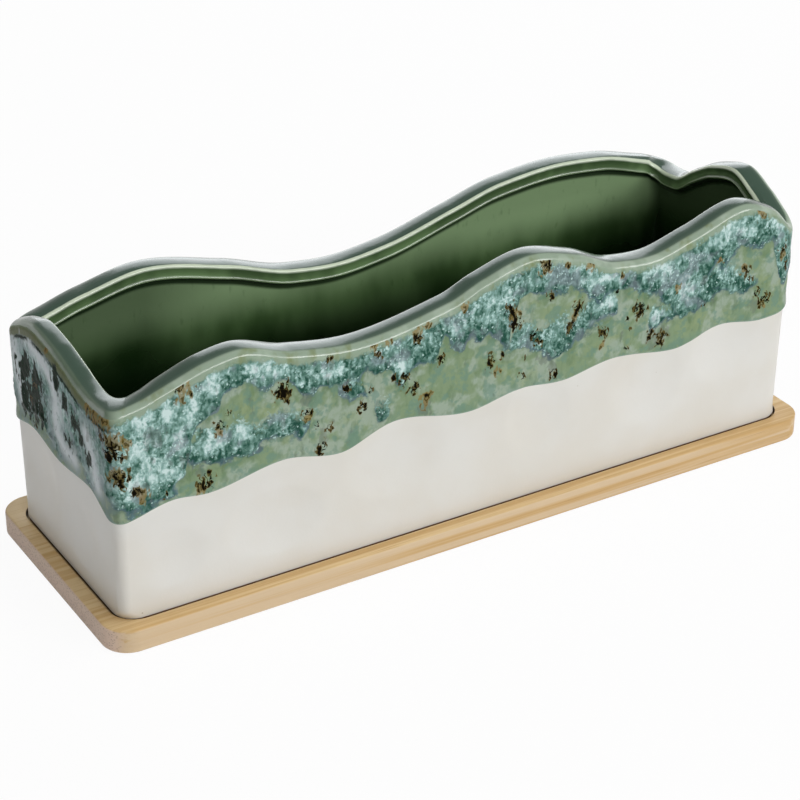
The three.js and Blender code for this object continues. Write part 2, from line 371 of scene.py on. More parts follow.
dishes = {  # shallow hollows: place along, height, radii, depth
    "front": [
        (-133, 31, 15, 12, 1.4), (-90, 33, 21, 14, 1.8), (-38, 46, 23, 18, 2), (27, 45, 15, 19, 1.6),
        (79, 44, 18, 19, 1.8), (118, 52, 17, 17, 1.6),
    ],
    "left": [(20, 38, 15, 16, 1.3), (-16, 29, 16, 13, 1.3)],
    "back": [
        (-118, 44, 20, 17, 1.7), (-66, 34, 20, 14, 1.6), (-14, 46, 22, 18, 1.9), (44, 40, 20, 17, 1.7),
        (98, 34, 22, 14, 1.7),
    ],
    "right": [(-17, 32, 15, 13, 1.3), (19, 42, 15, 16, 1.4)],
}
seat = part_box("clay_body")[0].z / mm  # height of the tray's recess
floorTop = seat + pot["footHeight"] + pot["floor"]
floorLevel = floorTop + pot["coat"]  # of the glaze on the floor
flare = math.tan(math.radians(pot["draft"]))
ring = walkOutline(pot["length"], pot["width"], pot["corners"], pot["step"], pot["cornerSteps"])


def wallStart(wall):  # distance round the pot where a wall's run begins
    index = wallOrder.index(wall)
    return sum(ring["runs"][:index]) + sum(ring["bends"][:index])


def roundPot(wall, along):  # distance round the pot of a place given as x or y
    index = wallOrder.index(wall)
    half = pot["width" if index % 2 else "length"] / 2 - pot["corners"][index - 1]
    return wallStart(wall) + half + (along if index < 2 else -along)


def away(place):  # shortest way round from each station to a place
    return np.mod(ring["distance"] - place + ring["total"] / 2, ring["total"]) - ring["total"] / 2


def waveCurve(knots):  # smooth closed curve, level at each crest and trough
    place, rise = np.array(sorted(knots), float).T
    total = ring["total"]
    span = np.diff(np.append(place, place[0] + total))
    after = (np.roll(rise, -1) - rise) / span
    before = np.roll(after, 1)
    same = before * after > 0
    tangent = np.where(same, 2 * before * after / np.where(same, before + after, 1), 0)
    at = np.mod(ring["distance"] - place[0], total) + place[0]
    i = np.searchsorted(place, at, side="right") - 1
    j = (i + 1) % len(place)
    t = (at - place[i]) / span[i]
    bend = t * (1 - t) * ((1 - t) * tangent[i] - t * tangent[j]) * span[i]
    return rise[i] + (rise[j] - rise[i]) * t * t * (3 - 2 * t) + bend


def waveKnots(wave):
    knots = []
    for index, wall in enumerate(wallOrder):
        run = ring["runs"][index]
        knots += [(wallStart(wall) + share * run, rise) for share, rise in wave[wall]]
        knots.append((wallStart(wall) + run + ring["bends"][index] / 2, wave[cornerOrder[index]]))
    return knots


rimTop = seat + pot["rimHeight"] + waveCurve(waveKnots(rimWave)) - pot["coat"]  # of the clay
bandEdge = seat + pot["bandHeight"] + waveCurve(waveKnots(bandWave))
tilt = math.radians(pot["rimTilt"])  # slope where the rim's crown meets its two rounds
rimReach = pot["rimRound"] + pot["coat"]
lipEdge = pot["rimWidth"] + pot["coat"]  # inset of the lip's inner face
crownOut = pot["rimRound"] - rimReach * math.sin(tilt)
crownIn = lipEdge - pot["rimSoft"] * (1 - math.sin(tilt))
crownBend = (crownIn - crownOut) / 2 / math.sin(tilt)
crownLow = rimTop + pot["coat"] - crownBend * (1 - math.cos(tilt))  # height of the crown's edges
roundMid = crownLow - rimReach * math.cos(tilt)  # height of the outer round's middle


def dished(z):  # how far the outside is pressed in
    press = np.zeros_like(z)
    for wall, marks in dishes.items():
        for along, height, wide, tall, depth in marks:
            inside = 1 - (away(roundPot(wall, along)) / wide) ** 2 - ((z - height) / tall) ** 2
            press = np.maximum(press, depth * (inside + np.sqrt(inside ** 2 + 0.02)) / 2)
    return press * np.clip((z - seat) / 10, 0, 1)


def wallPoints(inset, z):  # rows x stations of insets and heights to points
    inset, z = np.broadcast_arrays(inset, z)
    outward = (z - seat) * flare - inset
    rise = np.clip((z - seat) / pot["footCornerRise"], 0, 1)
    corner = pot["footCorner"] + (ring["corner"] - pot["footCorner"]) * rise * rise * (3 - 2 * rise)
    radius = np.maximum(corner + outward, pot["cavityCorner"])
    thinner = (1 - pot["leftShare"]) * np.maximum(inset, 0)
    x, y = moveOutline(ring, outward, radius, thinner)
    return np.stack([x, y, z], -1)


def profile(rows):  # (inset, height) rows, each a number or one per station
    wide = [np.broadcast_to(np.asarray(inset, float), ring["x"].shape) for inset, z in rows]
    high = [np.broadcast_to(np.asarray(z, float), ring["x"].shape) for inset, z in rows]
    return np.array(wide), np.array(high)


def onLeft(z):  # 1 on the left wall, for rows of heights
    return np.broadcast_to(np.clip(-np.cos(ring["angle"]), 0, 1) ** 2, z.shape)


def drainCircles(skin, rows):  # rows of (radius, height), for each drain hole
    turn = np.linspace(0, 2 * math.pi, pot["drainSides"], endpoint=False)
    found = []
    for hole in range(pot["drainCount"]):
        middle = (hole - (pot["drainCount"] - 1) / 2) * pot["drainSpacing"]
        points = [np.stack([middle + r * np.cos(turn), r * np.sin(turn), np.full_like(turn, z)], -1)
                  for r, z in rows]
        index = skin.ring(np.array(points))
        skin.join(index[:, ::-1], dict(distance=turn, total=2 * math.pi), 1, 0.975, 0.995)
        found.append(index)
    return found


def arc(steps, start, end):  # from degrees to radians
    return np.radians(np.linspace(start, end, steps))


def makeClay():
    foot, width, bend = seat, pot["footWidth"], pot["footRound"]
    sole = foot + pot["footHeight"]
    rows = [(width, sole), (width, foot + 0.7), (width - 0.25, foot + 0.2), (width - 0.8, foot),
            (bend + 0.3, foot)]
    rows += [(bend * (1 - math.sin(a)), foot + bend * (1 - math.cos(a))) for a in arc(7, 0, 90)]
    start = foot + bend
    rows += [(0, start + share * (bandEdge + 3 - start)) for share in np.linspace(0, 1, 62)[1:]]
    visible = len(rows)
    inset, z = profile(rows)
    skin = Skin()
    outside = skin.ring(wallPoints(inset + dished(z), z))
    hide = 0.3  # the clay under the glaze stands back by this
    lipLow = rimTop - pot["lip"]
    inner = pot["wall"]
    rim = pot["rimRound"]
    under = rim - hide
    covered = [(rim - under * math.cos(a), rimTop - rim + under * math.sin(a)) for a in arc(5, 0, 90)]
    covered += [(pot["rimWidth"] - 1, rimTop - hide - 0.6), (pot["rimWidth"] - hide, rimTop - 2),
               (pot["rimWidth"] - hide, lipLow), (inner - hide, lipLow - pot["lipUnderside"]),
               (inner - hide, floorTop + pot["floorFillet"]), (inner + pot["floorFillet"], floorTop)]
    inset, z = profile(covered)
    hidden = skin.ring(wallPoints(inset, z))
    skin.join(outside, ring, 4, 0, 0.8)
    skin.join(np.concatenate([outside[-1:], hidden]), ring, 1, 0.81, 0.83)
    radius = pot["drain"] / 2
    bores = drainCircles(skin, [(radius, floorTop), (radius, sole + 0.5), (radius + 0.5, sole)])
    skin.cap([hidden[-1]] + [b[0] for b in bores], True, 0.84, 0.86)
    skin.cap([outside[0]] + [b[-1] for b in bores], False, 0.87, 0.97)
    print("clay rows:", visible)
    return skin.build("potClay")


linerShade = dict(start=-62, over=36, top=90, depth=24, least=0.7)  # how the painted shade darkens the left end


def linerRows():  # from the seam on the rim to the floor, with each row's pale and thin share
    bend, edge, soft, lean = pot["rimRound"], lipEdge, pot["rimSoft"], pot["rimTilt"]
    under = 0.6  # round of the lip's lower edge
    lipLow = rimTop - pot["lip"] - 0.3
    rows, pale, rim = [], [], []

    def add(inset, z, paleShare=0, rimShare=0):
        rows.append((inset, z))
        pale.append(max(0, paleShare))
        rim.append(rimShare)

    for a in arc(16, pot["seamAngle"], 90 - lean):  # outer round, from the seam with the outer glaze
        thin = min(1, 0.25 + max(0, (78 - math.degrees(a)) / 22))
        add(bend - rimReach * math.cos(a), roundMid + rimReach * math.sin(a), rimShare=thin)
    for a in arc(14, -lean, lean)[1:]:  # crown
        thin = 0.25 * min(1, max(0, -(math.degrees(a) + 4) / 8))
        z = rimTop + pot["coat"] - crownBend * (1 - math.cos(a))
        add((crownIn + crownOut) / 2 + crownBend * math.sin(a), z, rimShare=thin)
    lipTop = crownLow - soft * math.cos(tilt)
    for a in arc(8, lean, 90)[1:]:  # inner edge
        # pale share: glaze broken thin over the edge, and a painted highlight
        share = 1 - abs(math.degrees(a) - 50) / 70
        add(edge - soft + soft * math.sin(a), lipTop + soft * math.cos(a), share)
    beadTop = lipLow + under + 0.77 * under
    for share in np.linspace(0, 1, 7)[1:-1]:  # inner face of the lip, a little hollow
        add(edge - 0.3 * math.sin(math.pi * share), lipTop + (beadTop - lipTop) * share)
    for a in arc(9, -50, 120):  # bead along the lip's lower edge
        # pale share on the bead's upper side: glaze broken thin, and a painted highlight
        share = 0.62 - abs(math.degrees(a) + 15) / 90
        add(edge - 0.4 + under * math.cos(a), lipLow + under - under * math.sin(a), share)
    inner = pot["wall"] + pot["coat"]
    for share in np.linspace(0, 1, 5)[1:]:  # hollow under the lip
        add(inner + (edge - 0.7 - inner) * (1 - share) ** 2, lipLow + 0.08 - 2.2 * share)
    fillet = pot["floorFillet"]
    wallTop = lipLow - 2.1
    for share in np.linspace(0, 1, 56)[1:]:  # wall
        add(inner, wallTop + (floorLevel + fillet - wallTop) * share)
    for a in arc(7, 0, 90)[1:]:  # floor fillet
        add(inner + fillet * (1 - math.cos(a)), floorLevel + fillet * (1 - math.sin(a)))
    return rows, pale, rim


def linerBack():  # the coat's back, from the floor to the rim
    bend, fillet, sunk = pot["rimRound"], pot["floorFillet"], pot["sunk"]
    wallBack, lipBack = pot["wall"] - sunk, pot["rimWidth"] - 2 * sunk
    lipFoot = rimTop - pot["lip"]
    rows = [(pot["wall"] + fillet + sunk, floorTop - sunk), (wallBack, floorTop + fillet),
            (wallBack, lipFoot - pot["lipUnderside"] - sunk), (lipBack, lipFoot + sunk),
            (lipBack, rimTop - 4 * sunk)]
    rows += [(bend - (bend - sunk) * math.cos(a), rimTop - bend + (bend - sunk) * math.sin(a))
             for a in arc(5, 90, 20)]
    return rows


def linerDim(x, z):  # 1 where the right wall and the left end are in shade
    right = np.clip(np.cos(ring["angle"]), 0, 1) ** 2
    left = np.clip((linerShade["start"] - x) / linerShade["over"], 0, 1)
    left = left * np.clip((linerShade["top"] - z) / linerShade["depth"], linerShade["least"], 1)
    return np.maximum(right, left)


def makeLiner():
    rows, pale, rim = linerRows()
    shown = wallPoints(*profile(rows))
    x, z = shown[..., 0], shown[..., 2]
    skin = Skin()
    inside = skin.ring(shown)
    hidden = skin.ring(wallPoints(*profile(linerBack())))
    skin.join(inside, ring, 4, 0, 0.84)
    skin.join(np.concatenate([hidden, inside[:1]]), ring, 1, 0.85, 0.86)
    bore = pot["drain"] / 2
    lips = [(bore + 1.4, floorLevel), (bore + 0.7, floorLevel - 0.12), (bore + 0.25, floorLevel - 0.5),
            (bore + 0.05, floorTop - 0.3), (bore + 0.6, floorTop - pot["sunk"])]
    holes = drainCircles(skin, lips)
    skin.cap([inside[-1]] + [h[0] for h in holes], True, 0.87, 0.965)
    skin.cap([hidden[0]] + [h[-1] for h in holes], False, 0.97, 0.974)
    count = len(ring["x"])
    fields = {"pale": np.repeat(pale, count), "rim": np.repeat(rim, count),
              "below": rimTop + pot["coat"] - z, "dim": linerDim(x, z), "side": onLeft(z)}
    return skin.build("linerGlaze", fields)


# Outer glaze: heights below are from the tray's underside

glaze = dict(
    roll=1.1, rollHeight=1.5, fade=5,  # thickness and height of the rolled edge, and its fade
    bead=0.4, ripple=0.12,  # relief of the runs' edges and of the rest
    beadRise=1.4, beadWidth=1.8,  # the beads, above the runs' edges
    runWidth=4, spacing=7.5, seed=11,  # heavy runs; feet on the walls that are drawn by chance
)
upperFoot = {  # lower edge of the upper curtain of aqua runs
    "front": [
        (-149, 57), (-140, 56), (-131, 59), (-126, 66), (-121, 84), (-117, 86.5), (-112, 90),
        (-109, 95), (-101, 95.5), (-95, 92.5), (-90, 91), (-86, 93.5), (-82, 90), (-78, 82.5),
        (-74, 85), (-70, 86.5), (-66, 83), (-62, 85), (-58, 87), (-55, 83), (-51, 87), (-47, 83),
        (-42, 85), (-37, 76), (-32, 82), (-27, 84), (-22, 84), (-18, 91), (-14, 87), (-11, 82),
        (-7, 88), (-2, 85.5), (2, 89), (6, 84), (10, 79), (13, 92), (16, 100.5), (24, 101.5), (30, 98),
        (37, 97.5), (43, 95), (48, 91.5), (57, 91.5), (64, 91), (71, 89), (77, 86), (82, 83.5),
        (87, 76), (94, 70.5), (100, 73), (104, 86), (109, 90), (114, 91.5), (119, 94.5), (126, 96),
        (132, 94), (138, 93), (141, 85), (145, 72),
    ],
    "left": [(36, 64), (28, 62), (16, 66), (4, 60), (-8, 62), (-20, 67), (-32, 60), (-38, 64)],
}
lowerRun = {  # lower and upper edge of the second curtain
    "front": [
        (-148, 66, 58), (-127, 72, 66), (-124, 68, 76), (-118, 67.5, 80), (-110, 67, 78),
        (-104, 66, 80), (-100, 67, 77), (-95, 68.5, 74), (-90, 70, 77), (-84, 68.5, 77), (-79, 68, 76),
        (-75, 73, 70), (-66, 80, 74), (-62, 79, 84), (-57, 76, 84), (-53, 78, 80), (-49, 74, 68),
        (-46, 65.5, 69), (-42, 66, 68.5), (-39, 72, 64), (-20, 72, 62), (9, 78, 70), (14, 79, 86),
        (18, 76, 86), (23, 76.5, 84), (28, 72, 83), (34, 70, 84), (39, 73, 83), (45, 77, 85),
        (50, 79, 90), (56, 80, 90.5), (60, 80, 89), (63, 84, 76), (76, 74, 66), (79, 70, 77),
        (83, 71, 76), (87, 71, 78), (98, 72, 86), (104, 75, 88), (109, 78.5, 88), (115, 77, 86),
        (121, 75, 84), (127, 74, 80), (131, 78, 76), (134, 84, 74), (146, 84, 74),
    ],
    "left": [(36, 70, 62), (-36, 70, 62)],
}
paleRuns = {  # whitest patches: place along, height, radii
    "front": [
        (-114, 97, 4, 5), (-96, 98, 9, 3.5), (-88, 95.5, 4, 3), (-132, 91, 3, 5), (-128, 80, 3, 5),
        (-144, 80, 6, 6), (-146, 66, 5, 5), (-115, 74, 5, 4), (-103, 76, 3, 5), (-66, 89, 8, 2),
        (42, 106, 3.5, 3), (57, 86, 4, 4), (53, 97, 8, 3), (80, 95, 8, 3), (95, 82, 4, 5),
        (113, 103, 8, 4.5), (124, 101, 5, 3), (140, 100, 4, 3), (-36, 84, 3, 4), (81, 73, 3, 4),
        (2, 101, 6, 3), (-138, 70, 6, 6), (-127, 62, 5, 4), (-122, 91, 4, 6), (-141, 90, 5, 4),
    ],
    "left": [(-32, 66, 8, 9), (-6, 78, 8, 10), (10, 92, 14, 6), (32, 82, 6, 12)],
}
ironAndReflectionSpots = {  # place along, height, radius, for each kind of mark
    "dark": {
        "front": [
            (-134, 58.5, 1.3), (-118, 58, 4), (-117, 62, 2), (-112, 80, 3.2), (-108, 84.5, 1.7),
            (-127, 100, 3), (-86, 87, 4), (-85, 82.5, 1.4), (-76, 75, 2.6), (-72, 69, 2), (-67, 66, 2),
            (-71, 59, 3.2), (-67, 95, 1.5), (-60, 81.5, 2.6), (-50, 77, 1.4), (-53, 71, 2.6),
            (-46, 91, 2), (-40, 80, 1.4), (-35, 78, 3.5), (-31, 73, 3), (-30, 92.5, 2.5),
            (-19, 82, 2.6), (3, 75, 3.2), (8, 76, 1.5), (11, 94, 3.6), (14, 89, 3.2), (18.5, 73, 1.4),
            (17.5, 64.5, 1.8), (22, 81, 2.6), (24, 78, 2.6), (29.5, 95.5, 2.4), (33, 61.5, 2.6),
            (27, 110, 3.6), (39.5, 80, 2.6), (43, 88, 3), (55, 74, 2.8), (72.5, 79, 3.8),
            (69.5, 80, 1.4), (66.5, 76, 1.4), (68.5, 71.5, 1.2), (67, 64, 1.8), (79, 66, 2.8),
            (84, 63.5, 3.4), (61, 90, 1.3), (104, 72.5, 1.2), (125, 83, 2.6), (127, 78.5, 2),
            (132, 72, 2.2), (136, 67, 3.6), (144, 88, 3), (146, 80, 2), (-146, 63, 2.4),
        ],
        "left": [(19, 60, 2), (22, 70, 2), (17, 78, 2), (-46, 80, 4), (-42, 86, 3), (-48, 70, 4)],
    },
    "rust": {
        "front": [
            (-152, 85, 3.6), (-151, 71, 3.6), (-143, 61, 3), (-125, 98, 4), (-119, 57, 3),
            (-112, 78, 2), (-86, 86, 3), (-76, 74, 2), (-48, 95.5, 2.4), (-42, 95, 1.6),
            (-30, 96.5, 2.6), (-25, 97.5, 1.4), (-26, 67, 3.6), (-9, 101, 2), (13, 92, 3), (6, 70, 2),
            (27, 109, 3.6), (41.5, 85, 2.4), (48.5, 104, 2.6), (55, 68, 1.6), (63, 96, 1.3),
            (75, 102, 1.2), (91, 84, 2), (111.5, 91, 1.6), (124, 84, 2.4), (130, 106.5, 2.6),
            (136, 65, 2.4), (144, 86, 2.4), (37, 107, 1.2),
        ],
        "left": [(-48, 84, 4), (-44, 92, 3), (-37, 91, 3.4), (-31, 90.5, 2.4), (3, 98.5, 1.8)],
    },
    "grey": {
        "front": [
            (-119, 64, 3), (-143, 64, 3), (-96, 66, 2), (-77, 80.5, 2.4), (-70, 63, 4.4),
            (-66, 92.5, 2), (-60, 83, 2.4), (-27, 62.5, 3.4), (28, 70, 3.4), (32, 65, 3), (80, 64, 4),
            (85, 65, 3.6), (104, 84, 2.4), (131, 66, 3), (-126, 72, 4), (-138, 83, 5),
        ],
        "left": [(-30, 80, 3), (-14, 68, 3)],
    },
    # on the left wall these dark green patches are a painted dark reflection
    "green": {
        "left": [
            (15, 81, 5), (23, 82, 5), (28, 79, 5), (18, 75, 7), (23, 72, 6), (12, 68, 5), (26, 65, 5),
            (18, 67, 5), (-5, 90, 4), (-11, 84, 4), (-18, 80, 4), (-24, 76, 3), (-12, 68, 3),
            (-30, 70, 3),
        ],
    },
}
thickRuns = {  # heavy runs of glaze, which also carry a painted reflection: places and heights on their way
    "left": [[(30, 97), (16, 95), (5, 92), (-1, 87), (-4, 81), (-2, 74), (-2, 68), (-8, 63.5), (-16, 63)],
             [(34, 90), (33, 78), (30, 66)], [(-29, 80), (-33, 72), (-36, 62)]],
}


def ownWalls(table, seed, make):  # adds the two walls that the photo doesn't show
    chance = np.random.default_rng(seed)
    rows = [(roundPot(wall, row[0]), *row[1:]) for wall, found in table.items() for row in found]
    for wall in ("right", "back"):
        start = wallStart(wall)
        run = ring["runs"][wallOrder.index(wall)]
        rows += make(chance, start, run)
    return rows


def rimOver(place):
    return float(np.interp(place, ring["distance"], rimTop))


def randomFeet(chance, start, run):
    places = np.arange(start + 2, start + run, glaze["spacing"])
    return [(p, rimOver(p) - 11 - 22 * chance.random() ** 1.6) for p in places]


def randomRuns(chance, start, run):
    rows = []
    for p in np.arange(start + 2, start + run, glaze["spacing"]):
        foot = 66 + 9 * chance.random()
        shown = math.sin(p / 17) > -0.25
        rows.append((p, foot, foot + (6 + 7 * chance.random() if shown else -8)))
    return rows


def randomPatches(count, sizes):
    def make(chance, start, run):
        rows = []
        for _ in range(max(2, round(count * run / 286))):
            p = start + run * chance.random()
            height = 60 + (rimOver(p) - 66) * chance.random()
            rows.append((p, height, *(s * (0.6 + 0.8 * chance.random()) for s in sizes)))
        return rows
    return make


def patches(rows, z):  # soft round marks on the wall, 0 to 1
    shade = np.zeros_like(z)
    for place, height, wide, *tall in rows:
        gap = (away(place) / wide) ** 2 + ((z - height) / (tall[0] if tall else wide * 1.15)) ** 2
        shade = np.maximum(shade, np.exp(-gap))
    return shade


def onRuns(z, wide):  # 1 on the heavy runs, fading out over this width
    shade = np.zeros_like(z)
    for wall, paths in thickRuns.items():
        across = away(roundPot(wall, 0)) * (1 if wallOrder.index(wall) < 2 else -1)
        for (startX, startZ), (endX, endZ) in [pair for path in paths for pair in zip(path, path[1:])]:
            runX, runZ = endX - startX, endZ - startZ
            share = ((across - startX) * runX + (z - startZ) * runZ) / (runX ** 2 + runZ ** 2)
            share = np.clip(share, 0, 1)
            gap = np.hypot(across - startX - share * runX, z - startZ - share * runZ)
            shade = np.maximum(shade, np.exp(-(gap / wide) ** 2))
    return shade


def ripple(points, size):  # smooth noise at each point, -1 to 1
    flat = points.reshape(-1, 3) / size
    return np.array([noise.noise(Vector(p)) for p in flat]).reshape(points.shape[:2])


def bandRows():  # from the rolled lower edge to the seam on the rim
    coat, bend = pot["coat"], pot["rimRound"]
    roll, rollHeight, fade = glaze["roll"], glaze["rollHeight"], glaze["fade"]
    tuck = 0.15  # the edge starts this far inside the clay
    edgeRises = (0, 0.1, 0.25, 0.5, 0.85, 1.3, 1.9, 2.7, 3.7, 5)
    rows = []
    for up in edgeRises:
        if up < rollHeight:  # rolled edge
            thick = -tuck + (roll + tuck) * math.sqrt(1 - (1 - up / rollHeight) ** 2)
        else:
            thick = coat + (roll - coat) * (1 + math.cos(math.pi * min(1, (up - rollHeight) / fade))) / 2
        rows.append((-thick, bandEdge + up))
    base = bandEdge + edgeRises[-1]
    rows += [(-coat, base + (roundMid - base) * share) for share in np.linspace(0, 1, 60)[1:]]
    rows += [(bend - rimReach * math.cos(a), roundMid + rimReach * math.sin(a))
             for a in arc(10, 0, pot["seamAngle"])[1:]]
    deeper = rimReach - 0.1  # runs on a little way under the liner glaze
    last = math.radians(pot["seamAngle"] + 7)
    rows.append((bend - deeper * math.cos(last), roundMid + deeper * math.sin(last)))
    return rows


def bandFields(plain):  # what the relief and the finish read at each point
    z = plain[..., 2]
    seed = glaze["seed"]
    wander = 4 * ripple(plain, 7) + 2 * ripple(plain, 3)
    feet = waveCurve(ownWalls(upperFoot, seed, randomFeet))
    runs = ownWalls(lowerRun, seed + 1, randomRuns)
    foot = waveCurve([(p, low) for p, low, high in runs])
    head = waveCurve([(p, high) for p, low, high in runs])
    fields = {
        "belowRim": rimTop + pot["coat"] - z,
        "aboveEdge": z - bandEdge,
        "upperRun": z - feet + wander,
        "lowerFoot": z - foot + wander,
        "lowerHead": head - z + wander,
        "palePatch": patches(ownWalls(paleRuns, seed + 2, randomPatches(20, (5, 4))), z),
        "thick": onRuns(z, glaze["runWidth"]),
        "side": onLeft(z),
    }
    for kind, seedStep, count in (("dark", 3, 46), ("rust", 4, 26), ("grey", 5, 14), ("green", 6, 5)):
        spread = randomPatches(count, (2.6,))
        fields[kind] = patches(ownWalls(ironAndReflectionSpots[kind], seed + seedStep, spread), z)
    return fields


def bandRelief(plain, fields):  # how far the beads and ripples stand out
    def bead(height):
        return np.exp(-((height - glaze["beadRise"]) / glaze["beadWidth"]) ** 2)

    within = np.minimum(fields["lowerFoot"], fields["lowerHead"] + 4)
    beads = np.maximum(bead(fields["upperRun"]), bead(within) * (fields["lowerHead"] > 0))
    beads = np.maximum(beads, 0.9 * fields["thick"])
    calm = np.clip((fields["aboveEdge"] - 3) / 4, 0, 1) * np.clip((fields["belowRim"] - 6.5) / 4, 0, 1)
    return calm * (glaze["bead"] * beads + glaze["ripple"] * ripple(plain, 2.2))


def makeBand():
    inset, z = profile(bandRows())
    plain = wallPoints(inset, z)
    fields = bandFields(plain)
    skin = Skin()
    outside = skin.ring(wallPoints(inset - bandRelief(plain, fields) + dished(z), z))
    bend, sunk = pot["rimRound"], pot["sunk"]
    behind = bend - sunk
    covered = [(bend - behind * math.cos(a), rimTop - bend + behind * math.sin(a))
               for a in arc(4, 33, 0)]
    inset, z = profile(covered + [(sunk, bandEdge + 0.3)])
    hidden = skin.ring(wallPoints(inset + dished(z), z))
    skin.join(outside, ring, 4, 0, 0.97)
    loop = np.concatenate([outside[-1:], hidden, outside[:1]])
    skin.join(loop, ring, 1, 0.98, 0.99)
    print("outer glaze rows:", len(outside))
    return skin.build("reactiveGlazeBand", fields)


# Finishes of the pot

clayLook = dict(cream=rgb(229, 228, 223), warm=rgb(225, 222, 214), speck=rgb(168, 150, 122), rough=0.42,
                bare=rgb(106, 66, 34), footShadeHeight=1.95)  # painted shade of the recess's gap, laid on the foot up to the tray's top in raw-clay brown


def clayPaint():
    material, paint = newPaint("satinClay")
    place = onPiece(paint)
    drift = cloud(place, 38, 3)
    coats = Coats(clayLook, tint(ease(drift, 0.35, 0.7), clayLook["cream"], clayLook["warm"]))
    dots = cells(place, 5)
    speck = (1 - ease(dots, 0.04, 0.08)) * ease(cellChance(place, 5), 0.955, 0.965)
    coats.over(speck * 0.6, "speck")
    # painted shade where the foot stands in the tray's recess
    footShadeTop = seat + clayLook["footShadeHeight"]
    bare = 1 - ease(axis(place, "Z"), footShadeTop - 0.15, footShadeTop + 0.1)
    coats.over(bare, "bare")
    skinGrain = cloud(place, 1.1, 3)
    rough = clayLook["rough"] + 0.16 * (cloud(place, 12, 2) - 0.5)
    height = 0.5 * skinGrain + 0.8 * cloud(place, 9, 1) - 1.5 * speck
    surface(paint, {"Base Color": coats.colour, "Roughness": rough}, height, 0.25, 0.0002)
    return material


rimLook = dict(thin=rgb(148, 166, 146), olive=rgb(130, 144, 106), milk=rgb(170, 186, 168),
               top=rgb(62, 84, 70), left=rgb(84, 104, 84))


def thinRim(place):  # pale celadon where the glaze is thin over the rim
    streak = cloud(stretched(place, 1, 1, 0.3), 5, 3)
    colour = tint(ease(streak, 0.5, 0.75), rimLook["thin"], rimLook["olive"])
    return tint(ease(cloud(place, 9, 2), 0.5, 0.66) * 0.7, colour, rimLook["milk"])


# pool is a near-black green, laid on as painted shade in the cavity
linerLook = dict(deep=rgb(58, 84, 46), mid=rgb(98, 128, 82), light=rgb(146, 174, 130), pool=rgb(6, 30, 6),
                 edge=rgb(212, 224, 200), rough=0.18, gloss=0.7)


def linerPaint():
    material, paint = newPaint("linerGlaze")
    place = onPiece(paint)
    look = linerLook
    below = field(paint, "below")
    drift = cloud(stretched(place, 1, 1, 0.45), 26, 3)
    coats = Coats(look, tint(ease(drift, 0.32, 0.7), look["deep"], look["mid"]))
    level = axis(place, "Z") + 7 * (drift - 0.5)
    # lighter high on the inner walls: painted light where the lamps reach in
    coats.over(ease(level, 66, 85), "light")
    fleck = cloud(stretched(place, 1, 1, 0.4), 2.4, 3)
    coats.over(ease(fleck, 0.6, 0.8) * 0.25, "deep")
    inside = ease(below, 7, 9)
    # darker towards the bottom: painted shade deep in the cavity
    coats.over(inside * (1 - ease(level, 50, 74)) * 0.85, "pool")
    # painted shade on the right wall and the left end
    coats.over(inside * field(paint, "dim") * 0.8, "pool")
    lip = tint(ease(drift, 0.42, 0.58), look["deep"], look["mid"])
    coats.over((1 - ease(below, 5.6, 6.4)) * 0.85, lip)
    # dark band under the lip: glaze pooled there, and painted shade of the overhang
    underLip = ease(below, 6.3, 6.8) * (1 - ease(below, 9, 10.6))
    coats.over(underLip * 0.9, "pool")
    topShare = 1 - ease(below, 0.8, 2.6)
    coats.over(topShare, rimLook["top"])
    thin = tint(field(paint, "side") * 0.85, thinRim(place), rimLook["left"])
    coats.over(ease(field(paint, "rim"), 0.05, 0.95), thin)
    # pale where the glaze breaks thin on the inner edge and the bead, with a painted highlight along them
    paleBreakAndHighlight = field(paint, "pale") * (0.75 + 0.5 * cloud(place, 6, 2))
    coats.over(ease(paleBreakAndHighlight, 0.25, 0.9), "edge")
    rough = look["rough"] + 0.06 * fleck
    height = cloud(place, 7, 2) + 0.15 * fleck
    sockets = {"Base Color": coats.colour, "Roughness": rough, "Specular IOR Level": look["gloss"]}
    surface(paint, sockets, height, 0.2, 0.0006)
    return material


bandLook = dict(
    pool=rgb(158, 174, 156), olive=rgb(134, 155, 122), moss=rgb(98, 126, 90), lime=rgb(150, 165, 122),
    slate=rgb(88, 112, 122), deep=rgb(44, 82, 70), teal=rgb(76, 114, 102), sea=rgb(106, 143, 132),
    aqua=rgb(138, 174, 167), ice=rgb(173, 205, 200), white=rgb(210, 230, 228), dot=rgb(200, 228, 225),
    lilac=rgb(124, 134, 142), black=rgb(16, 14, 6), brown=rgb(70, 60, 24), ochre=rgb(146, 116, 54),
    mauve=rgb(106, 108, 108), pine=rgb(10, 36, 18), veil=rgb(226, 234, 238), steel=rgb(150, 166, 170),
    gold=rgb(104, 110, 74), edge=rgb(158, 186, 172), rough=0.08, bend=1.06,
)


